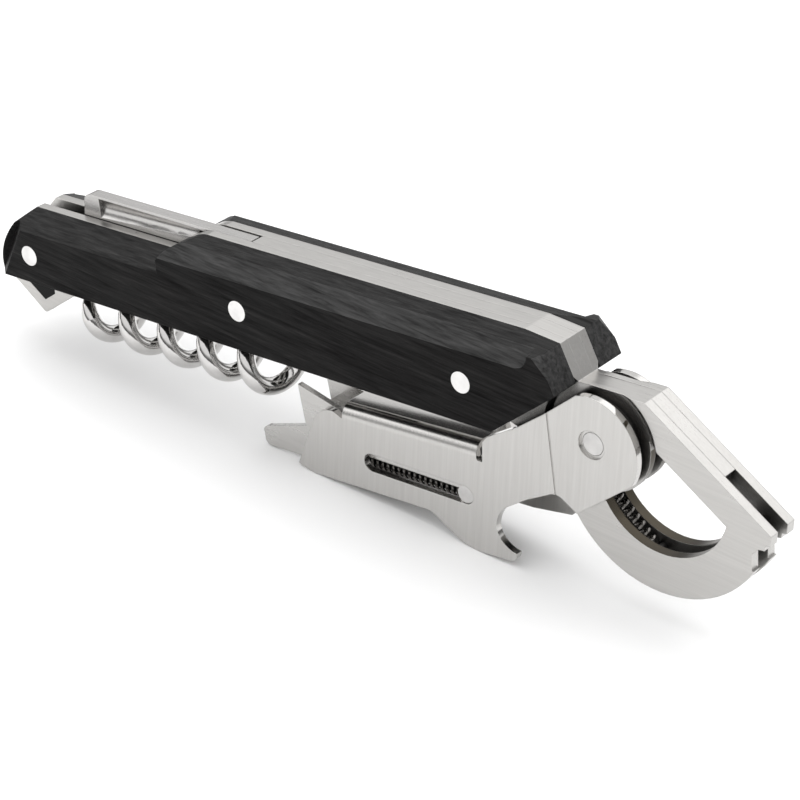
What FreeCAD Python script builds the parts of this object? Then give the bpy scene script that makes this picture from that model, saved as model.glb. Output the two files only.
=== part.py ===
import FreeCAD, Part
import os
from math import atan2, cos, degrees, hypot, pi, radians, sin

# A waiters corkscrew, in millimetres. It is drawn in the handle's own frame:
# u runs from the tail to the ring, v is up, y is across, with y = 0 in the middle
# plane and u = v = 0 on the axis of the head pin. stand() then tilts the finished
# pieces so that the object stands on its lever, with the origin under its middle.

# Thicknesses across the handle
CHANNEL = 2.6            # gap between the two liners
LINER = 1.7
SCALE = 5.3
BLADE = 2.3
WASHER = 0.8
LEVER_SHEET = 1.2
CLAW_SHEET = 1.0
SLIDING_GAP = 0.1        # between faces that slide on each other
PIN_GAP = 0.05           # radial, round every pin that something turns on

# Handle outline
TAIL_BOTTOM_U = -99.9
TAIL_TOP_U = -93.6
TAIL_BOW = 0.9           # how far the tail end bulges from a straight line
BOTTOM_V = -6.7
TOP_V = 8.8
NOTCH_V = 4.6            # top of the lowered stretch over the blade
NOTCH_END_U = -61.4
NOTCH_RISE = 5.2         # length of the rounded shoulder after the notch
TOP_BEND_U = 8.3
END_TOP = (14.6, 8.1)
END_FOOT = (17.2, 2.4)
SCALE_FOOT_U = 5.3
LINER_FOOT_U = 3.0
CROWN_DROP = 1.25        # fall of the scale's top from liner to outer face
NOTCH_DROP = 2.2         # the same on the lowered stretch
CHAMFER_DEPTH = 2.2
CHAMFER_FOOT_V = 5.15
CHAMFER_U = (-66.0, 12.4)
CHAMFER_CORNER = 2.4
END_BEVEL = 1.3          # of the scales' outer tail corners, across the corner
CORNER_CUT = 0.6         # taken off the scales' top corner at the head, along each edge

# Pins through the handle
SCALE_PIN_R = 1.75
TAIL_PIN = (-91.2, -1.8)
MIDDLE_PIN = (-44.4, 0.1)
HEAD_PIN = (0.0, 0.0)
WORM_PIN = (-34.0, -2.2)
WORM_PIN_R = 1.25

# Head, neck and ring
PIVOT = (21.1, -5.7)
PIVOT_R = 1.8
BOSS_R = 8.6
POCKET_R = 9.0
POCKET_RIM_R = 9.9
POCKET_DEPTH = 0.6
RING_CENTRE = (31.9, -10.0)
RING_R = 18.0
RING_HOLE_R = 11.4
NECK_TOP_V = 2.5
NECK_END_U = 29.2
BAR_TIP = (50.3, -12.6)
BAR_WIDTH = 4.95
BAR_TIP_LENGTH = 1.7
TIP_NOTCH_U = 47.0
TIP_NOTCH_V = (-19.2, -15.3)
SPACER_END = 15.2        # along the bar from the neck to the open slot
SPACER_U = -46.4
SPACER_UNDER_V = 3.0
GUARD_TIP = (-94.9, -14.9)
GUARD_PAD = 0.8          # thickness of the pad in the guard

# Worm
WORM_WIRE_R = 1.5
WORM_R = 3.7             # centre of the wire from the worm's axis
WORM_PITCH = 8.85
WORM_TURNS = 4.75
WORM_V = -13.0
WORM_END_U = -40.9       # where the wire meets the hub, at the top of its last turn
HUB_R = 2.1
EYE = 2.3                # thickness of the worm's eye and arm
WORM_EYE_R = 4.0
TIP_SWEEP = 120.0        # degrees of the tapered point
TIP_STEPS = 6

# Blade
BLADE_SHOULDER_U = -84.0
BLADE_TIP_U = -46.8
BLADE_BACK_V = 8.6
BLADE_EDGE_V = -1.6
TANG_R = 3.7
NICK_U = (-80.5, -50.5)
NICK_R = 2.3
NICK_DEPTH = 0.7

# Lever
LEVER_OUT = 5.1          # outer face of a cheek from the middle plane
CHEEK_R = 8.0
WEB_LEFT = (-27.0, -13.0)
WEB_RIGHT = (-0.5, -11.9)
BEND_R = 2.2
REST_CORNER = (-33.8, -26.9)
HOOK_FOOT = (-0.9, -30.6)
SLOT_U = (-22.9, -1.4)
SLOT_V = -21.4
SLOT_HEIGHT = 3.1
CHEEK_CORNER = (18.1, -18.0)
COUNTERBORE_R = 2.3
COUNTERBORE_DEPTH = 0.45
CREASE_WIDTH = 0.3
CREASE_DEPTH = 0.2

# Springs
LEVER_SPRING_R = 0.85
LEVER_SPRING_WIRE_R = 0.3
CLAW_SPRING_R = 0.95
CLAW_SPRING_WIRE_R = 0.28
CLAW_SPRING_V = -24.5
CLAW_ROD_R = 0.6
SPRING_PIN_R = 0.8

# Sizes that follow from the ones above
INNER = CHANNEL / 2
OUTER = INNER + LINER
FACE = OUTER + SCALE
CHEEK_IN = LEVER_OUT - LEVER_SHEET
CLAW_OUT = CHEEK_IN - SLIDING_GAP
CLAW_IN = CLAW_OUT - CLAW_SHEET
CLAW_PIN_R = SLOT_HEIGHT / 2 - PIN_GAP
CLAW_PIN_U = SLOT_U[1] - SLOT_HEIGHT / 2 - PIN_GAP
CLAW_TRAVEL = SLOT_U[1] - SLOT_U[0] - SLOT_HEIGHT - 2 * PIN_GAP
STANCE = degrees(atan2(REST_CORNER[1] - HOOK_FOOT[1], HOOK_FOOT[0] - REST_CORNER[0]))
Y_AXIS = FreeCAD.Vector(0, 1, 0)


def at(u, v, y=0.0):
    return FreeCAD.Vector(u, y, v)


def plate(outline, y_low, y_high):
    """Extrude an outline of (u, v) corners. Four numbers are an arc: a point on it, then its end."""
    first = at(outline[0][0], outline[0][1], y_low)
    here = first
    edges = []
    for step in outline[1:]:
        there = at(step[-2], step[-1], y_low)
        if len(step) == 4:
            edges.append(Part.Arc(here, at(step[0], step[1], y_low), there).toShape())
        else:
            edges.append(Part.LineSegment(here, there).toShape())
        here = there
    if here != first:
        edges.append(Part.LineSegment(here, first).toShape())
    return Part.Face(Part.Wire(edges)).extrude(FreeCAD.Vector(0, y_high - y_low, 0))


def disc(centre, radius, y_low, y_high):
    return Part.makeCylinder(radius, y_high - y_low, at(centre[0], centre[1], y_low), Y_AXIS)


def pin(centre, radius, half_length):
    return disc(centre, radius, -half_length, half_length)


def mirrored(shape):
    return shape.mirror(FreeCAD.Vector(0, 0, 0), Y_AXIS)


def prism_along_u(section, u_low, u_high):
    """Extrude a (y, v) section along u."""
    corners = [at(u_low, v, y) for y, v in section]
    face = Part.Face(Part.makePolygon(corners + corners[:1]))
    return face.extrude(at(u_high - u_low, 0))


def helical_spring(start, end, coil_r, wire_r, turns):
    """A close spring from start to end, both (u, v), in the middle plane."""
    length = hypot(end[0] - start[0], end[1] - start[1])
    helix = Part.makeHelix(length / turns, length, coil_r)
    tangent = FreeCAD.Vector(0, 2 * pi * coil_r, length / turns)
    circle = Part.Wire(Part.makeCircle(wire_r, FreeCAD.Vector(coil_r, 0, 0), tangent))
    coil = Part.Wire(helix).makePipeShell([circle], True, True)
    turn = 90 + degrees(atan2(start[1] - end[1], end[0] - start[0]))
    coil.rotate(FreeCAD.Vector(0, 0, 0), Y_AXIS, turn)
    coil.translate(at(start[0], start[1]))
    return coil


# ---------------------------------------------------------------- handle

def bar_frame():
    """Unit vector along the ring's bar, and its unit normal towards the hole."""
    along_u = BAR_TIP[0] - NECK_END_U
    along_v = BAR_TIP[1] - NECK_TOP_V
    length = hypot(along_u, along_v)
    return (along_u / length, along_v / length), (along_v / length, -along_u / length)


def bar_point(along, inward):
    direction, normal = bar_frame()
    u = NECK_END_U + along * direction[0] + inward * normal[0]
    v = NECK_TOP_V + along * direction[1] + inward * normal[1]
    return (u, v)


def top_and_tail():
    """The handle's upper edge from the bend near the head, and its bowed tail end."""
    shoulder_u = NOTCH_END_U + NOTCH_RISE
    bow_u = (TAIL_TOP_U + TAIL_BOTTOM_U) / 2 - TAIL_BOW
    bow_v = (NOTCH_V + BOTTOM_V) / 2 + TAIL_BOW / 2
    return [
        (TOP_BEND_U, TOP_V),
        (shoulder_u + 1.8, TOP_V),
        (shoulder_u + 0.3, TOP_V - 0.3, shoulder_u - 1.2, TOP_V - 1.0),
        (NOTCH_END_U + 1.4, NOTCH_V + 1.7, NOTCH_END_U, NOTCH_V),
        (TAIL_TOP_U, NOTCH_V),
        (bow_u, bow_v, TAIL_BOTTOM_U, BOTTOM_V),
    ]


def scale():
    outline = [(TAIL_BOTTOM_U, BOTTOM_V), (SCALE_FOOT_U, BOTTOM_V), END_FOOT, END_TOP] + top_and_tail()
    body = plate(outline, OUTER, FACE)
    for top_v, drop, u_low, u_high in (
        (TOP_V, CROWN_DROP, NOTCH_END_U, END_FOOT[0]),
        (NOTCH_V, NOTCH_DROP, TAIL_BOTTOM_U, NOTCH_END_U),
    ):
        foot_v = top_v - drop
        crown = [
            (OUTER, top_v),
            (FACE, foot_v),
            (FACE + 1, foot_v),
            (FACE + 1, top_v + 9),
            (OUTER, top_v + 9),
        ]
        body = body.cut(prism_along_u(crown, u_low, u_high))
    body = body.cut(scale_chamfer())
    body = body.cut(corner_bevel((TAIL_BOTTOM_U, BOTTOM_V), (TAIL_TOP_U, NOTCH_V)))
    corner = Part.makeBox(20, 20, 20, at(-10, 0, -10))
    corner.Placement = FreeCAD.Placement(
        at(END_TOP[0] - CORNER_CUT / 3, END_TOP[1] - CROWN_DROP - CORNER_CUT / 3, FACE - CORNER_CUT / 3),
        FreeCAD.Rotation(FreeCAD.Vector(0, 0, 1), FreeCAD.Vector(1, 1, 1)),
    )
    body = body.cut(corner)
    for centre in (TAIL_PIN, MIDDLE_PIN, HEAD_PIN):
        body = body.cut(pin(centre, SCALE_PIN_R, FACE + 1))
    return body


def corner_bevel(foot, head):
    """Takes the outer corner off along the edge from foot to head, both (u, v)."""
    length = hypot(head[0] - foot[0], head[1] - foot[1])
    bar = Part.makeBox(2 * END_BEVEL, 2 * END_BEVEL, length + 8, at(-END_BEVEL, -4, -END_BEVEL))
    bar.rotate(FreeCAD.Vector(0, 0, 0), FreeCAD.Vector(0, 0, 1), 45)
    bar.rotate(FreeCAD.Vector(0, 0, 0), Y_AXIS, degrees(atan2(head[0] - foot[0], head[1] - foot[1])))
    bar.translate(at(foot[0], foot[1], FACE))
    return bar


def scale_chamfer():
    """The long chamfer on the raised part, with a rounded scoop at each end."""
    foot_y = FACE
    head_y = FACE - CHAMFER_DEPTH
    head_v = TOP_V - CROWN_DROP * (head_y - OUTER) / SCALE
    slope = (head_v - CHAMFER_FOOT_V) / CHAMFER_DEPTH
    section = [
        (head_y - 1, head_v + slope),
        (foot_y + 1, CHAMFER_FOOT_V - slope),
        (foot_y + 1, TOP_V + 5),
        (head_y - 1, TOP_V + 5),
    ]
    cutter = prism_along_u(section, CHAMFER_U[0], CHAMFER_U[1])
    r = CHAMFER_CORNER
    bow = r * (1 - cos(radians(45)))
    low = CHAMFER_FOOT_V
    window = [
        (CHAMFER_U[0], low + r),
        (CHAMFER_U[0] + bow, low + bow, CHAMFER_U[0] + r, low),
        (CHAMFER_U[1] - r, low),
        (CHAMFER_U[1] - bow, low + bow, CHAMFER_U[1], low + r),
        (CHAMFER_U[1], TOP_V + 5),
        (CHAMFER_U[0], TOP_V + 5),
    ]
    return cutter.common(plate(window, OUTER, FACE + 2))


def ring_hole(y_low, y_high):
    hole = disc(RING_CENTRE, RING_HOLE_R, y_low, y_high)
    above_bar = [bar_point(-30, BAR_WIDTH), bar_point(40, BAR_WIDTH), bar_point(40, -20), bar_point(-30, -20)]
    hole = hole.cut(plate(above_bar, y_low, y_high))
    return hole.cut(disc(PIVOT, BOSS_R, y_low, y_high))


def ring_plate(y_low, y_high):
    ring = disc(RING_CENTRE, RING_R, y_low, y_high)
    outside = [(-20, NECK_TOP_V), (NECK_END_U, NECK_TOP_V), bar_point(40, 0), bar_point(40, -60), (-20, 60)]
    ring = ring.cut(plate(outside, y_low, y_high))
    blunt = (BAR_TIP[0] - 0.2, BAR_TIP[1] - BAR_TIP_LENGTH)
    tip = [bar_point(20, 0), BAR_TIP, blunt, (TIP_NOTCH_U - 3, -14.6)]
    ring = ring.fuse(plate(tip, y_low, y_high))
    notch = [
        (TIP_NOTCH_U, TIP_NOTCH_V[0]),
        (TIP_NOTCH_U, TIP_NOTCH_V[1] - 1.2),
        (TIP_NOTCH_U + 1.2, TIP_NOTCH_V[1]),
        (TIP_NOTCH_U + 9, TIP_NOTCH_V[1] + 0.6),
        (TIP_NOTCH_U + 9, TIP_NOTCH_V[0]),
    ]
    return ring.cut(plate(notch, y_low, y_high))


def liner():
    """The rear liner. The front one is its mirror image with the tip guard added."""
    outline = [
        (TAIL_BOTTOM_U, BOTTOM_V),
        (LINER_FOOT_U, BOTTOM_V),
        (RING_CENTRE[0] - RING_R + 1.5, RING_CENTRE[1] - 1.5),
        (PIVOT[0] + 3, PIVOT[1]),
        bar_point(8, BAR_WIDTH - 1),
        bar_point(6, 0),
        (NECK_END_U, NECK_TOP_V),
        END_FOOT,
        END_TOP,
    ] + top_and_tail()
    body = plate(outline, INNER, OUTER)
    body = body.fuse(ring_plate(INNER, OUTER)).fuse(disc(PIVOT, BOSS_R - 1.0, INNER, OUTER))
    body = body.cut(ring_hole(INNER - 1, OUTER + 1)).removeSplitter()
    floor_y = OUTER - POCKET_DEPTH
    pocket = disc(PIVOT, POCKET_R, floor_y, OUTER + 1)
    rim = Part.makeCone(POCKET_R, POCKET_RIM_R, POCKET_DEPTH, at(PIVOT[0], PIVOT[1], floor_y), Y_AXIS)
    body = body.cut(pocket.fuse(rim))
    for centre, radius in (
        (TAIL_PIN, SCALE_PIN_R),
        (MIDDLE_PIN, SCALE_PIN_R),
        (HEAD_PIN, SCALE_PIN_R),
        (WORM_PIN, WORM_PIN_R),
        (PIVOT, PIVOT_R),
    ):
        body = body.cut(pin(centre, radius, OUTER + 1))
    return body


def tip_guard():
    """The V-shaped lobe under the tail, in the front liner's sheet."""
    u, v = GUARD_TIP
    outline = [
        (u - 0.6, v + 0.1),
        (u, v - 0.2, u + 0.8, v + 0.1),
        (u + 7.8, v + 4.7),
        (u + 9.0, BOTTOM_V + 1),
        (TAIL_BOTTOM_U + 1.2, BOTTOM_V + 1),
        (u - 7.6, v + 5.4),
    ]
    lobe = plate(outline, -OUTER, -INNER)
    return lobe.cut(guard_pad())


def guard_pad():
    """The dark pad set into the guard's outer side."""
    u, v = GUARD_TIP
    outline = [(u + 0.3, v + 2.1), (u + 2.9, v + 3.8), (u + 2.9, v + 7.4), (u - 6.2, v + 6.9)]
    return plate(outline, -OUTER, -OUTER + GUARD_PAD)


def spine_spacer():
    start = bar_point(SPACER_END, 0)
    under = bar_point(SPACER_END, BAR_WIDTH)
    outline = [
        (SPACER_U, MIDDLE_PIN[1] - SCALE_PIN_R - 1.2),
        (MIDDLE_PIN[0] + SCALE_PIN_R + 1.2, MIDDLE_PIN[1] - SCALE_PIN_R - 1.2),
        (MIDDLE_PIN[0] + SCALE_PIN_R + 1.2, SPACER_UNDER_V),
        (-22.0, SPACER_UNDER_V),
        (-18.0, BOTTOM_V),
        (LINER_FOOT_U, BOTTOM_V),
        (PIVOT[0] - BOSS_R + 0.4, PIVOT[1] - 2.0),
        (PIVOT[0], PIVOT[1]),
        bar_point(2.0, BAR_WIDTH),
        under,
        start,
        (NECK_END_U, NECK_TOP_V),
        END_FOOT,
        END_TOP,
        (TOP_BEND_U, TOP_V),
        (SPACER_U, TOP_V),
    ]
    body = plate(outline, -INNER, INNER).cut(pin(PIVOT, drum_radius(), INNER + 1))
    for centre in (MIDDLE_PIN, HEAD_PIN):
        body = body.cut(pin(centre, SCALE_PIN_R, INNER + 1))
    return body


def drum_radius():
    """The pivot bush fills the channel up to the neck's upper edge, with a wall left above it."""
    return NECK_TOP_V - PIVOT[1] - 1.4


def pivot_bush():
    return pin(PIVOT, drum_radius(), INNER).cut(pin(PIVOT, PIVOT_R, INNER + 1))


def spring_anchor():
    """Where the lever spring's pin crosses the ring's groove."""
    middle = (RING_R + RING_HOLE_R) / 2 - 1.2
    angle = radians(-103)
    return (RING_CENTRE[0] + middle * cos(angle), RING_CENTRE[1] + middle * sin(angle))


def lever_spring():
    anchor = spring_anchor()
    gap = SPRING_PIN_R + LEVER_SPRING_WIRE_R + PIN_GAP
    reach = drum_radius() + LEVER_SPRING_R + LEVER_SPRING_WIRE_R + 0.4
    start = (PIVOT[0] - 0.6, PIVOT[1] - reach - 1.3)
    length = hypot(anchor[0] - start[0], anchor[1] - start[1])
    keep = (length - gap) / length
    end = (start[0] + keep * (anchor[0] - start[0]), start[1] + keep * (anchor[1] - start[1]))
    return helical_spring(start, end, LEVER_SPRING_R, LEVER_SPRING_WIRE_R, 8)


def washer():
    high = OUTER - POCKET_DEPTH
    ring = disc(PIVOT, CHEEK_R - 1.2, high, CHEEK_IN - SLIDING_GAP)
    return ring.cut(pin(PIVOT, PIVOT_R, FACE))


def blade_spring():
    """The leaf that bears on the tang from below, held on the middle pin."""
    left_u = TAIL_PIN[0] + 2.2
    leaf_v = TAIL_PIN[1] - TANG_R - SLIDING_GAP
    half = BLADE / 2
    outline = [
        (left_u, BOTTOM_V + 0.2),
        (SPACER_U - 3.0, BOTTOM_V + 0.2),
        (MIDDLE_PIN[0] + 1.2, BOTTOM_V + 0.2),
        (MIDDLE_PIN[0] + 1.2, MIDDLE_PIN[1] - SCALE_PIN_R - 1.2 - SLIDING_GAP),
        (SPACER_U, MIDDLE_PIN[1] - SCALE_PIN_R - 1.2 - SLIDING_GAP),
        (SPACER_U - 3.0, leaf_v),
        (left_u, leaf_v),
    ]
    return plate(outline, -half, half)


# ---------------------------------------------------------------- blade

def blade():
    """Foil blade: its back is level with the spine, its edge lies inside the channel."""
    half = BLADE / 2
    u, v = TAIL_PIN
    outline = [
        (u, v - TANG_R),
        (BLADE_SHOULDER_U - 1.6, v - TANG_R + 1.0),
        (BLADE_SHOULDER_U + 4.0, BLADE_EDGE_V),
        (BLADE_TIP_U - 10.0, BLADE_EDGE_V),
        (BLADE_TIP_U - 3.0, 1.8, BLADE_TIP_U, BLADE_BACK_V - 0.8),
        (BLADE_TIP_U - 0.3, BLADE_BACK_V),
        (BLADE_SHOULDER_U + 1.6, BLADE_BACK_V),
        (BLADE_SHOULDER_U + 0.4, BLADE_BACK_V - 0.5, BLADE_SHOULDER_U, BLADE_BACK_V - 1.8),
        (BLADE_SHOULDER_U - 0.6, v + 4.0),
        (u, v + TANG_R),
        (u - TANG_R, v, u, v - TANG_R),
    ]
    body = plate(outline, -half, half)
    grind_foot = BLADE_EDGE_V + 5.0
    for side in (-1, 1):
        wedge = [
            (side * half, grind_foot),
            (side * (half + 1), grind_foot),
            (side * (half + 1), BLADE_EDGE_V - 1),
            (side * 0.12, BLADE_EDGE_V - 1),
            (side * 0.12, BLADE_EDGE_V),
        ]
        body = body.cut(prism_along_u(wedge, BLADE_SHOULDER_U + 4.0, BLADE_TIP_U + 1))
    body = body.cut(nail_nick())
    return body.cut(pin(TAIL_PIN, SCALE_PIN_R + PIN_GAP, half + 1))


def nail_nick():
    """A long scoop along the near side of the back, fading out towards the tip."""
    length = NICK_U[1] - NICK_U[0]
    centre_y = -BLADE / 2 - NICK_R + NICK_DEPTH
    near = FreeCAD.Vector(NICK_U[0], centre_y, BLADE_BACK_V - 2.0)
    rise = FreeCAD.Vector(length, 0, 1.0)
    return Part.makeCone(NICK_R, NICK_R - NICK_DEPTH, rise.Length, near, rise)


# ---------------------------------------------------------------- worm

def worm_point(back):
    """Centre of the wire, back degrees of turn before its end at the top."""
    angle = radians(180 - back)
    u = WORM_END_U - WORM_PITCH * back / 360
    return FreeCAD.Vector(u, WORM_R * sin(angle), WORM_V - WORM_R * cos(angle))


def worm_tangent(back):
    angle = radians(180 - back)
    return FreeCAD.Vector(WORM_PITCH / (2 * pi), WORM_R * cos(angle), WORM_R * sin(angle))


def worm_coil():
    helix = Part.makeHelix(WORM_PITCH, WORM_PITCH * WORM_TURNS, WORM_R)
    tangent = FreeCAD.Vector(0, 2 * pi * WORM_R, WORM_PITCH)
    circle = Part.Wire(Part.makeCircle(WORM_WIRE_R, FreeCAD.Vector(WORM_R, 0, 0), tangent))
    coil = Part.Wire(helix).makePipeShell([circle], True, True)
    coil.rotate(FreeCAD.Vector(0, 0, 0), FreeCAD.Vector(0, 0, 1), 180 - 360 * WORM_TURNS)
    coil.rotate(FreeCAD.Vector(0, 0, 0), Y_AXIS, 90)
    coil.translate(at(WORM_END_U - WORM_PITCH * WORM_TURNS, WORM_V))
    return coil


def worm_tip():
    """The sharp point: circles that shrink along the last part of the helix."""
    rings = []
    for step in range(TIP_STEPS + 1):
        share = step / TIP_STEPS
        back = 360 * WORM_TURNS + TIP_SWEEP * share
        radius = WORM_WIRE_R * (1 - share) ** 0.8 + 0.12 * share
        rings.append(Part.Wire(Part.makeCircle(radius, worm_point(back), worm_tangent(back))))
    return Part.makeLoft(rings, True)


def worm():
    """One forging: coil, point, the hub that takes the wire's end, the arm and its eye."""
    half = EYE / 2
    u, v = WORM_PIN
    hub = (WORM_END_U + 0.3, WORM_V + WORM_R)
    arm = plate([
        (hub[0] - 0.8, hub[1] + HUB_R - 0.2),
        (hub[0] + 0.6, hub[1] - HUB_R + 0.1),
        (u + 2.0, v - 3.4),
        (u - 1.5, v + 3.6),
    ], -half, half)
    eye = pin(WORM_PIN, WORM_EYE_R, half)
    body = worm_coil().fuse([worm_tip(), pin(hub, HUB_R, WORM_WIRE_R), arm, eye])
    return body.cut(pin(WORM_PIN, WORM_PIN_R + PIN_GAP, half + 1))


# ---------------------------------------------------------------- lever and claw

def web_slope():
    return degrees(atan2(WEB_RIGHT[1] - WEB_LEFT[1], WEB_RIGHT[0] - WEB_LEFT[0]))


def lever_outline(with_hook):
    upper = [
        (28.0, -10.5),
        (PIVOT[0] + CHEEK_R, PIVOT[1], 18.6, 1.7),
        (13.0, -2.8),
        (6.8, -7.3),
        (6.0, -7.6),
        (1.9, -10.0),
        (0.9, -11.2),
        (0.7, -14.6),
        (-0.2, -14.6),
        (WEB_RIGHT[0], WEB_RIGHT[1] - BEND_R),
        (WEB_LEFT[0], WEB_LEFT[1] - BEND_R),
        (-28.6, -14.5),
        (-30.8, -14.9, -32.9, -17.0),
        (-36.9, -26.0),
    ]
    if with_hook:
        lower = [
            REST_CORNER,
            (-10.4, -26.3),
            (-9.4, -26.6),
            (-4.3, -29.7),
            (HOOK_FOOT[0] - 1.4, HOOK_FOOT[1] + 0.25, HOOK_FOOT[0], HOOK_FOOT[1]),
            (4.9, -30.3),
            (6.3, -29.6, 6.5, -28.7),
            (4.2, -27.7, 2.8, -24.9),
            (3.7, -22.4, 5.5, -20.7),
            (8.9, -18.5),
            (12.8, -16.5),
            (14.2, -16.0, 15.6, -16.4),
        ]
    else:
        lower = [REST_CORNER, (-10.4, -26.3), (3.0, -26.0), (10.4, -25.0)]
    return lower + [CHEEK_CORNER] + upper


def slot_cut():
    r = SLOT_HEIGHT / 2
    outline = [
        (SLOT_U[0] + r, SLOT_V - r),
        (SLOT_U[1] - r, SLOT_V - r),
        (SLOT_U[1], SLOT_V, SLOT_U[1] - r, SLOT_V + r),
        (SLOT_U[0] + r, SLOT_V + r),
        (SLOT_U[0], SLOT_V, SLOT_U[0] + r, SLOT_V - r),
    ]
    return plate(outline, -FACE, FACE)


def lever_web():
    """The bent top of the channel, with a rounded outer corner on each side."""
    length = hypot(WEB_RIGHT[0] - WEB_LEFT[0], WEB_RIGHT[1] - WEB_LEFT[1])
    block = Part.makeBox(length, 2 * LEVER_OUT, BEND_R + 0.2, at(0, -BEND_R - 0.2, -LEVER_OUT))
    top_edges = [
        edge for edge in block.Edges
        if abs(edge.BoundBox.XLength - length) < 1e-6 and edge.BoundBox.ZMin > -1e-6
    ]
    block = block.makeFillet(BEND_R - 0.05, top_edges)
    hollow = Part.makeBox(length, 2 * CHEEK_IN, 10, at(0, -10 - LEVER_SHEET, -CHEEK_IN))
    block = block.cut(hollow)
    block.rotate(FreeCAD.Vector(0, 0, 0), Y_AXIS, -web_slope())
    block.translate(at(WEB_LEFT[0], WEB_LEFT[1]))
    return block


def lever_channel():
    front = plate(lever_outline(True), -LEVER_OUT, -CHEEK_IN)
    rear = plate(lever_outline(False), CHEEK_IN, LEVER_OUT)
    body = lever_web().fuse([front, rear]).removeSplitter()
    body = body.cut(slot_cut()).cut(pin(PIVOT, PIVOT_R + PIN_GAP, FACE))
    sink = pin(PIVOT, COUNTERBORE_R, FACE).cut(pin(PIVOT, COUNTERBORE_R + 1, LEVER_OUT - COUNTERBORE_DEPTH))
    crease = [(13.0, -2.0), (13.0 + CREASE_WIDTH, -2.0), (14.2 + CREASE_WIDTH, -17.0), (14.2, -17.0)]
    groove = plate(crease, -FACE, -LEVER_OUT + CREASE_DEPTH)
    return body.cut(sink).cut(groove).cut(mirrored(groove))


def spring_pin_centre():
    return (SLOT_U[1] - 0.6, CLAW_SPRING_V)


def claw_outline(with_prong):
    rail_top = SLOT_V + SLOT_HEIGHT / 2
    boss_low = SLOT_V - SLOT_HEIGHT / 2 - 0.2
    boss_u = CLAW_PIN_U - SLOT_HEIGHT / 2 - 0.4
    prong = [
        (-37.7, -25.4),
        (-43.7, -25.5),
        (-44.7, -25.2, -45.0, -24.2),
        (-45.2, -22.9),
        (-44.6, -22.2, -43.9, -22.0),
    ]
    return [
        (-36.9, -12.5),
        (-29.0, -14.6),
        (-28.2, -15.4),
        (-28.2, rail_top),
        (SLOT_U[1] + 0.8, rail_top),
        (SLOT_U[1] + 0.8, boss_low),
        (boss_u, boss_low),
        (boss_u, SLOT_V),
        (-27.6, SLOT_V),
        (-27.6, -25.6),
    ] + (prong if with_prong else [(-36.6, -25.4)]) + [(-35.9, -19.6)]


def claw_slider():
    """Two plates joined by a bridge, which slide inside the lever. Only the front one has the prong."""
    front = plate(claw_outline(True), -CLAW_OUT, -CLAW_IN)
    rear = plate(claw_outline(False), CLAW_IN, CLAW_OUT)
    bridge_top = SLOT_V + SLOT_HEIGHT / 2
    bridge = [
        (-34.2, -16.4),
        (-28.2, -16.4),
        (-28.2, bridge_top),
        (SLOT_U[1] + 0.8, bridge_top),
        (SLOT_U[1] + 0.8, bridge_top - 0.9),
        (-29.2, bridge_top - 0.9),
        (-29.2, -17.4),
        (-34.2, -17.4),
    ]
    body = front.fuse([rear, plate(bridge, -CLAW_IN, CLAW_IN)])
    return body.cut(pin((CLAW_PIN_U, SLOT_V), CLAW_PIN_R, FACE))


def claw_pin():
    return pin((CLAW_PIN_U, SLOT_V), CLAW_PIN_R, LEVER_OUT - 0.25)


def claw_spring():
    end_u = spring_pin_centre()[0] - SPRING_PIN_R - CLAW_SPRING_WIRE_R - PIN_GAP
    start = (-26.8, CLAW_SPRING_V)
    return helical_spring(start, (end_u, CLAW_SPRING_V), CLAW_SPRING_R, CLAW_SPRING_WIRE_R, 22)


def claw_spring_rod():
    """The rod that keeps the claw's spring straight."""
    start = at(-27.2, CLAW_SPRING_V)
    length = spring_pin_centre()[0] - SPRING_PIN_R + 27.2
    return Part.makeCylinder(CLAW_ROD_R, length, start, FreeCAD.Vector(1, 0, 0))


# ---------------------------------------------------------------- assembly

def build():
    rear_liner = liner()
    return {
        "front_scale": mirrored(scale()),
        "rear_scale": scale(),
        "front_liner": mirrored(rear_liner).fuse(tip_guard()).removeSplitter(),
        "rear_liner": rear_liner,
        "guard_pad": guard_pad(),
        "spine_spacer": spine_spacer(),
        "tail_pin": pin(TAIL_PIN, SCALE_PIN_R, FACE),
        "middle_pin": pin(MIDDLE_PIN, SCALE_PIN_R, FACE),
        "head_pin": pin(HEAD_PIN, SCALE_PIN_R, FACE),
        "worm_pivot_pin": pin(WORM_PIN, WORM_PIN_R, OUTER),
        "lever_pivot_pin": pin(PIVOT, PIVOT_R, LEVER_OUT - COUNTERBORE_DEPTH),
        "pivot_bush": pivot_bush(),
        "front_washer": mirrored(washer()),
        "rear_washer": washer(),
        "lever_spring": lever_spring(),
        "lever_spring_pin": pin(spring_anchor(), SPRING_PIN_R, INNER),
        "blade_spring": blade_spring(),
        "blade": blade(),
        "worm": worm(),
        "lever_channel": lever_channel(),
        "claw_spring": claw_spring(),
        "claw_spring_rod": claw_spring_rod(),
        "claw_spring_pin": pin(spring_pin_centre(), SPRING_PIN_R, CHEEK_IN),
        "claw_slider": claw_slider(),
        "claw_pin": claw_pin(),
    }


def stand(pieces):
    """Tilt every piece onto the lever, then bring the box's bottom centre to the origin."""
    for shape in pieces.values():
        shape.rotate(FreeCAD.Vector(0, 0, 0), Y_AXIS, -STANCE)
    box = Part.makeCompound(list(pieces.values())).optimalBoundingBox(False)
    shift = FreeCAD.Vector(-box.Center.x, 0, -box.ZMin)
    for shape in pieces.values():
        shape.translate(shift)


PIECES = build()
stand(PIECES)
os.makedirs("parts", exist_ok=True)
for name, shape in PIECES.items():
    shape.exportStep("parts/" + name + ".step")
    print(name, len(shape.Solids), round(shape.Volume, 2), shape.isValid())
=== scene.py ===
from math import radians

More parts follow.
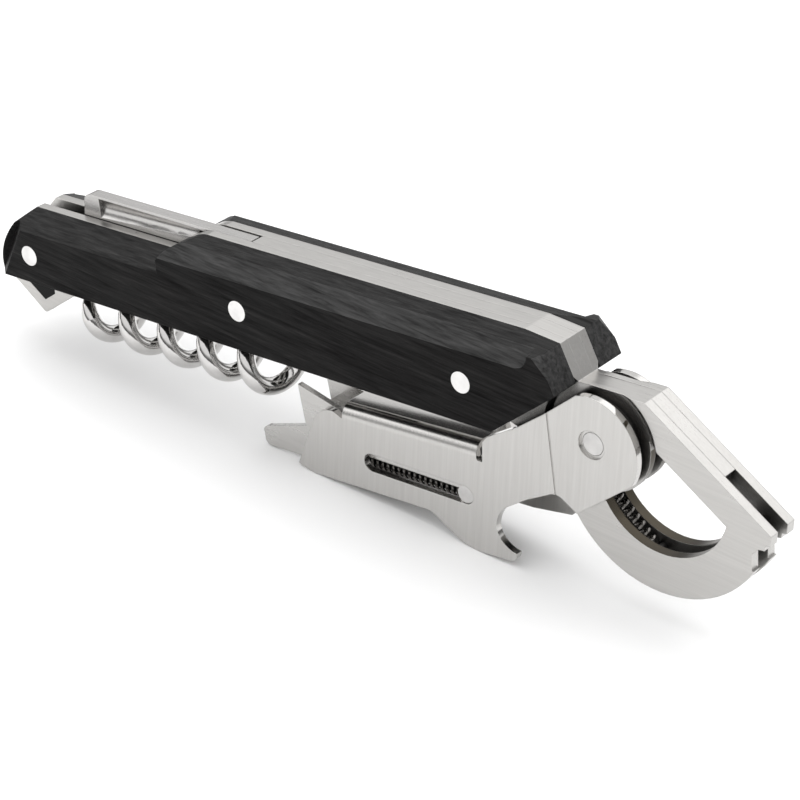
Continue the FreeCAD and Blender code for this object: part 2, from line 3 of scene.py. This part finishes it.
import bpy
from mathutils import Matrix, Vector

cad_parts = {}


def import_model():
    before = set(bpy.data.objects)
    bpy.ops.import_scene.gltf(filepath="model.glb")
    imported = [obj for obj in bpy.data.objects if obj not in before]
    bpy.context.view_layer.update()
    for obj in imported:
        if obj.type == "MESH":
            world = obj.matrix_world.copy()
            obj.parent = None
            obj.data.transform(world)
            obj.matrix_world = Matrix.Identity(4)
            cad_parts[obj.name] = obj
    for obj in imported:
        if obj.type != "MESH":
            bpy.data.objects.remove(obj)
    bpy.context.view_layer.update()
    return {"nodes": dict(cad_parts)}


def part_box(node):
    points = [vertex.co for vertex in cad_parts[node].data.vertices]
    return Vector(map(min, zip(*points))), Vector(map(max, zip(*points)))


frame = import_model()
NODES = frame["nodes"]
HEAD = (Vector(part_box("head_pin")[0]) + Vector(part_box("head_pin")[1])) / 2

# Places are in metres. HEAD is the middle of the head pin.
HANDLE_TURN = (0.0, -6.4, 0.0)     # degrees, so that grain and brushing run along the handle
RING_MIDDLE = HEAD + Vector((0.0328, 0.0, -0.0064))
RING_WALL_R = 0.0116
FACES_INWARD = -0.002              # dot product below which a wall faces the ring's middle
CAMERA_PLACE = HEAD + Vector((0.2109, -0.2889, 0.21225))
CAMERA_TURN = (58.426, -1.494, 39.271)
LENS = 126.0
SATIN_STEEL = (0.5, 0.49, 0.475)
BRIGHT_STEEL = (0.62, 0.61, 0.6)
# painted shade: the near-black colour laid deep in gaps between parts
GAP_SHADE_COLOUR = (0.012, 0.011, 0.01)
# painted shade: the dark colour of the walls inside the ring's hole
RING_WALL_SHADE = (0.06, 0.052, 0.04)


# ---------------------------------------------------------------- materials

def new_material(name):
    mat = bpy.data.materials.new(name)
    mat.use_nodes = True
    tree = mat.node_tree
    tree.nodes.clear()
    out = tree.nodes.new("ShaderNodeOutputMaterial")
    shader = tree.nodes.new("ShaderNodeBsdfPrincipled")
    tree.links.new(shader.outputs["BSDF"], out.inputs["Surface"])
    return mat, tree, shader


def coordinates(tree, scale, turn=(0.0, 0.0, 0.0)):
    """Object coordinates, stretched."""
    source = tree.nodes.new("ShaderNodeTexCoord")
    mapping = tree.nodes.new("ShaderNodeMapping")
    mapping.inputs["Scale"].default_value = scale
    mapping.inputs["Rotation"].default_value = [radians(a) for a in turn]
    tree.links.new(source.outputs["Object"], mapping.inputs["Vector"])
    return mapping.outputs["Vector"]


def noise(tree, vector, detail, roughness=0.55, distortion=0.0):
    node = tree.nodes.new("ShaderNodeTexNoise")
    node.inputs["Scale"].default_value = 1.0
    node.inputs["Detail"].default_value = detail
    node.inputs["Roughness"].default_value = roughness
    node.inputs["Distortion"].default_value = distortion
    tree.links.new(vector, node.inputs["Vector"])
    return node.outputs["Fac"]


def ramp(tree, value, stops):
    node = tree.nodes.new("ShaderNodeValToRGB")
    elements = node.color_ramp.elements
    while len(elements) < len(stops):
        elements.new(0.5)
    for element, (place, colour) in zip(elements, stops):
        element.position = place
        element.color = (*colour, 1.0)
    tree.links.new(value, node.inputs["Fac"])
    return node.outputs["Color"]


def remap(tree, value, low, high, start=0.0, end=1.0):
    node = tree.nodes.new("ShaderNodeMapRange")
    node.inputs["From Min"].default_value = start
    node.inputs["From Max"].default_value = end
    node.inputs["To Min"].default_value = low
    node.inputs["To Max"].default_value = high
    tree.links.new(value, node.inputs["Value"])
    return node.outputs["Result"]


def calculate(tree, operation, a, b):
    node = tree.nodes.new("ShaderNodeMath")
    node.operation = operation
    for socket, value in zip(node.inputs, (a, b)):
        if isinstance(value, (int, float)):
            socket.default_value = value
        else:
            tree.links.new(value, socket)
    return node.outputs["Value"]


def mix_colour(tree, share, a, b):
    node = tree.nodes.new("ShaderNodeMix")
    node.data_type = "RGBA"
    for index, value in ((0, share), (6, a), (7, b)):
        socket = node.inputs[index]
        if isinstance(value, tuple):
            socket.default_value = (*value, 1.0)
        else:
            tree.links.new(value, socket)
    return node.outputs[2]


def bump(tree, shader, height, distance, strength, edge):
    """Surface relief, over edges that are rounded by a hair in the shading."""
    rounding = tree.nodes.new("ShaderNodeBevel")
    rounding.samples = 4
    rounding.inputs["Radius"].default_value = edge
    node = tree.nodes.new("ShaderNodeBump")
    node.inputs["Distance"].default_value = distance
    node.inputs["Strength"].default_value = strength
    tree.links.new(height, node.inputs["Height"])
    tree.links.new(rounding.outputs["Normal"], node.inputs["Normal"])
    tree.links.new(node.outputs["Normal"], shader.inputs["Normal"])


def normal_part(tree, axis):
    """One part of the surface's direction, in the object's own axes."""
    facing = tree.nodes.new("ShaderNodeTexCoord")
    parts = tree.nodes.new("ShaderNodeSeparateXYZ")
    tree.links.new(facing.outputs["Normal"], parts.inputs["Vector"])
    return parts.outputs[axis]


def gap_shade_mask(tree, reach):
    """1 on open faces, falling to 0 deep in a gap: the mask for the shade painted into gaps."""
    node = tree.nodes.new("ShaderNodeAmbientOcclusion")
    node.samples = 8
    node.inputs["Distance"].default_value = reach
    return remap(tree, node.outputs["AO"], 0.0, 1.0, 0.2, 0.62)


def ring_wall(tree):
    """1 on the walls inside the ring's hole, where shade is painted on as a dark colour."""
    place = tree.nodes.new("ShaderNodeTexCoord")
    offset = tree.nodes.new("ShaderNodeVectorMath")
    offset.operation = "SUBTRACT"
    offset.inputs[1].default_value = RING_MIDDLE
    tree.links.new(place.outputs["Object"], offset.inputs[0])
    flat = tree.nodes.new("ShaderNodeVectorMath")
    flat.operation = "MULTIPLY"
    flat.inputs[1].default_value = (1.0, 0.0, 1.0)
    tree.links.new(offset.outputs["Vector"], flat.inputs[0])
    size = tree.nodes.new("ShaderNodeVectorMath")
    size.operation = "LENGTH"
    tree.links.new(flat.outputs["Vector"], size.inputs[0])
    near = calculate(tree, "LESS_THAN", size.outputs["Value"], RING_WALL_R)
    inward = tree.nodes.new("ShaderNodeVectorMath")
    inward.operation = "DOT_PRODUCT"
    tree.links.new(flat.outputs["Vector"], inward.inputs[0])
    tree.links.new(place.outputs["Normal"], inward.inputs[1])
    faces_in = calculate(tree, "LESS_THAN", inward.outputs["Value"], FACES_INWARD)
    return calculate(tree, "MULTIPLY", near, faces_in)


def ebony():
    mat, tree, shader = new_material("ebony")
    grain = noise(tree, coordinates(tree, (90.0, 1500.0, 1500.0), HANDLE_TURN), 6.0, 0.62, 0.4)
    pores = noise(tree, coordinates(tree, (420.0, 5200.0, 5200.0), HANDLE_TURN), 3.0, 0.5)
    clouds = noise(tree, coordinates(tree, (45.0, 160.0, 160.0)), 3.0)
    dark = ramp(tree, grain, [
        (0.3, (0.002, 0.0019, 0.002)),
        (0.58, (0.005, 0.0047, 0.0047)),
        (0.8, (0.016, 0.0145, 0.014)),
    ])
    cloudy = remap(tree, clouds, 0.0, 0.35, 0.35, 0.75)
    tint = mix_colour(tree, cloudy, dark, (0.0065, 0.0055, 0.0052))
    tree.links.new(tint, shader.inputs["Base Color"])
    rough = calculate(tree, "ADD", remap(tree, grain, 0.42, 0.58), remap(tree, pores, -0.05, 0.07))
    tree.links.new(rough, shader.inputs["Roughness"])
    sheen = ramp(tree, normal_part(tree, "Z"), [
        (0.3, (0.1,) * 3),
        (0.52, (0.55,) * 3),
        (0.74, (0.55,) * 3),
        (0.92, (0.2,) * 3),
    ])
    streaks = calculate(tree, "MULTIPLY", sheen, remap(tree, grain, 0.35, 1.5, 0.3, 0.7))
    tree.links.new(streaks, shader.inputs["Specular IOR Level"])
    coarse = calculate(tree, "MULTIPLY", grain, 0.7)
    fine = calculate(tree, "MULTIPLY", pores, 0.5)
    bump(tree, shader, calculate(tree, "ADD", coarse, fine), 0.0001, 0.7, 0.0003)
    return mat


def steel(name, colour, roughness, spread, stretch, relief=0.000006, smudge=0.06, gap=0.0, walls=False):
    """Stainless steel with lines of brushing along the handle, or even marks if the stretch is even."""
    mat, tree, shader = new_material(name)
    lines = noise(tree, coordinates(tree, stretch, HANDLE_TURN), 5.0, 0.6)
    clouds = noise(tree, coordinates(tree, (130.0,) * 3), 4.0, 0.6)
    light = tuple(c * 1.05 for c in colour)
    dark = tuple(c * 0.93 for c in colour)
    tone = ramp(tree, lines, [(0.3, dark), (0.72, light)])
    if gap:
        # painted shade: the steel turns near-black deep in gaps, where shadow falls
        tone = mix_colour(tree, gap_shade_mask(tree, gap), GAP_SHADE_COLOUR, tone)
    if walls:
        # painted shade on the walls inside the ring's hole
        tone = mix_colour(tree, ring_wall(tree), tone, RING_WALL_SHADE)
    tree.links.new(tone, shader.inputs["Base Color"])
    brushed = remap(tree, lines, roughness - spread, roughness + spread)
    rough = calculate(tree, "ADD", brushed, remap(tree, clouds, -smudge, smudge))
    tree.links.new(rough, shader.inputs["Roughness"])
    shader.inputs["Metallic"].default_value = 1.0
    bump(tree, shader, lines, relief, 0.6, 0.0002)
    return mat


def lever_steel():
    """Satin sides, and a bright polished web: the two are told apart by the surface's direction."""
    mat, tree, shader = new_material("lever_steel")
    lines = noise(tree, coordinates(tree, (2300.0, 2300.0, 70.0)), 5.0, 0.6)
    clouds = noise(tree, coordinates(tree, (90.0,) * 3), 4.0, 0.6)
    tone = ramp(tree, lines, [(0.3, SATIN_STEEL), (0.75, (0.56, 0.55, 0.535))])
    tree.links.new(tone, shader.inputs["Base Color"])
    across = calculate(tree, "ABSOLUTE", normal_part(tree, "Y"), 0.0)
    side = remap(tree, across, 0.2, 0.8, 0.08, 1.0)
    satin = calculate(tree, "ADD", remap(tree, lines, 0.3, 0.36), remap(tree, clouds, -0.05, 0.06))
    rough = calculate(tree, "ADD", calculate(tree, "MULTIPLY", satin, side), 0.045)
    tree.links.new(rough, shader.inputs["Roughness"])
    shader.inputs["Metallic"].default_value = 1.0
    bump(tree, shader, lines, 0.000005, 0.4, 0.0002)
    return mat


def turned(name, colour, roughness):
    """A pin's faced end: fine marks and a little wear."""
    mat, tree, shader = new_material(name)
    marks = noise(tree, coordinates(tree, (1700.0,) * 3), 5.0, 0.7)
    wear = noise(tree, coordinates(tree, (420.0,) * 3), 3.0, 0.5)
    low = tuple(c * 0.82 for c in colour)
    tree.links.new(ramp(tree, wear, [(0.3, low), (0.7, colour)]), shader.inputs["Base Color"])
    tree.links.new(remap(tree, marks, roughness - 0.07, roughness + 0.09), shader.inputs["Roughness"])
    shader.inputs["Metallic"].default_value = 1.0
    bump(tree, shader, marks, 0.00001, 0.6, 0.0001)
    return mat


MATERIALS = {
    "ebony": ebony(),
    "frame_steel": steel(
        "frame_steel", SATIN_STEEL, 0.3, 0.05, (60.0, 2600.0, 2600.0), gap=0.005, walls=True,
    ),
    "lever_steel": lever_steel(),
    "claw_steel": steel("claw_steel", (0.56, 0.55, 0.535), 0.26, 0.05, (90.0, 2400.0, 2400.0)),
    "worm_steel": steel("worm_steel", BRIGHT_STEEL, 0.07, 0.02, (900.0,) * 3, 0.000005, 0.03),
    "blade_steel": steel("blade_steel", (0.5, 0.49, 0.48), 0.24, 0.06, (70.0, 2600.0, 2600.0), gap=0.003),
    # painted reflection: near-black fill in the guard's window, for the handle's dark underside mirrored
    # in polished steel
    "pad": steel("pad", (0.012,) * 3, 0.5, 0.08, (600.0,) * 3),
    # dark steel for small pins, washers, bush and blade spring; on the claw spring rod it is painted
    # shade inside the claw's slot
    "dark_steel_and_shade": steel("dark_steel_and_shade", (0.075, 0.072, 0.07), 0.42, 0.08, (700.0,) * 3),
    "spring_steel": steel("spring_steel", (0.2, 0.19, 0.18), 0.24, 0.06, (1500.0,) * 3),
    "pin_steel": turned("pin_steel", (0.8, 0.79, 0.78), 0.32),
    "pivot_steel": turned("pivot_steel", BRIGHT_STEEL, 0.34),
}

FINISH = {
    "front_scale": "ebony",
    "rear_scale": "ebony",
    "front_liner": "frame_steel",
    "rear_liner": "frame_steel",
    "spine_spacer": "frame_steel",
    # painted reflection: the dark fill seen in the guard's window
    "guard_pad": "pad",
    "pivot_bush": "dark_steel_and_shade",
    "front_washer": "dark_steel_and_shade",
    "rear_washer": "dark_steel_and_shade",
    "tail_pin": "pin_steel",
    "middle_pin": "pin_steel",
    "head_pin": "pin_steel",
    "worm_pivot_pin": "pivot_steel",
    "lever_pivot_pin": "pivot_steel",
    "lever_spring": "spring_steel",
    "lever_spring_pin": "dark_steel_and_shade",
    "blade_spring": "dark_steel_and_shade",
    "blade": "blade_steel",
    "worm": "worm_steel",
    "lever_channel": "lever_steel",
    "claw_slider": "claw_steel",
    "claw_pin": "pivot_steel",
    "claw_spring": "spring_steel",
    "claw_spring_pin": "dark_steel_and_shade",
    # a dark rod that puts painted shade inside the claw's slot
    "claw_spring_rod": "dark_steel_and_shade",
}

for name, node in NODES.items():
    node.data.materials.clear()
    node.data.materials.append(MATERIALS[FINISH[name]])


# ---------------------------------------------------------------- floor, light and camera

def floor():
    bpy.ops.mesh.primitive_plane_add(size=12.0, location=(0, 0, 0))
    plane = bpy.context.object
    plane.name = "floor"
    mat, tree, shader = new_material("floor_white")
    mottle = noise(tree, coordinates(tree, (3.0,) * 3), 2.0)
    white = ramp(tree, mottle, [(0.3, (0.93,) * 3), (0.7, (0.95,) * 3)])
    tree.links.new(white, shader.inputs["Base Color"])
    shader.inputs["Roughness"].default_value = 0.55
    shader.inputs["Specular IOR Level"].default_value = 0.25
    plane.data.materials.append(mat)


def softbox(name, place, target, size, power):
    data = bpy.data.lights.new(name, "AREA")
    data.shape = "RECTANGLE"
    data.size, data.size_y = size
    data.energy = power
    lamp = bpy.data.objects.new(name, data)
    lamp.location = place
    lamp.rotation_euler = (Vector(target) - Vector(place)).to_track_quat("-Z", "Y").to_euler()
    bpy.context.collection.objects.link(lamp)


def world():
    """A bright sky over a darker horizon, so that polished steel has something dark to show."""
    studio = bpy.data.worlds.new("studio")
    studio.use_nodes = True
    tree = studio.node_tree
    direction = tree.nodes.new("ShaderNodeTexCoord")
    parts = tree.nodes.new("ShaderNodeSeparateXYZ")
    tree.links.new(direction.outputs["Generated"], parts.inputs["Vector"])
    sky = ramp(tree, parts.outputs["Z"], [
        (0.02, (0.1, 0.1, 0.1)),
        (0.16, (0.22, 0.22, 0.22)),
        (0.32, (0.95, 0.95, 0.95)),
        (0.75, (1.0, 1.0, 1.0)),
    ])
    tree.links.new(sky, tree.nodes["Background"].inputs["Color"])
    tree.nodes["Background"].inputs["Strength"].default_value = 1.12
    bpy.context.scene.world = studio


def camera():
    data = bpy.data.cameras.new("camera")
    data.sensor_width = 36.0
    data.lens = LENS
    data.clip_start = 0.01
    viewer = bpy.data.objects.new("camera", data)
    viewer.location = CAMERA_PLACE
    viewer.rotation_euler = [radians(a) for a in CAMERA_TURN]
    bpy.context.collection.objects.link(viewer)
    bpy.context.scene.camera = viewer


floor()
softbox("overhead", (-0.05, 0.2, 0.95), (0, 0, 0), (1.8, 1.5), 7.4)
softbox("left", (-0.9, -0.35, 0.7), (0, 0, 0.02), (0.8, 0.8), 1.5)
world()
camera()

scene = bpy.context.scene
scene.render.resolution_x = 800
scene.render.resolution_y = 800
scene.view_settings.view_transform = "Standard"
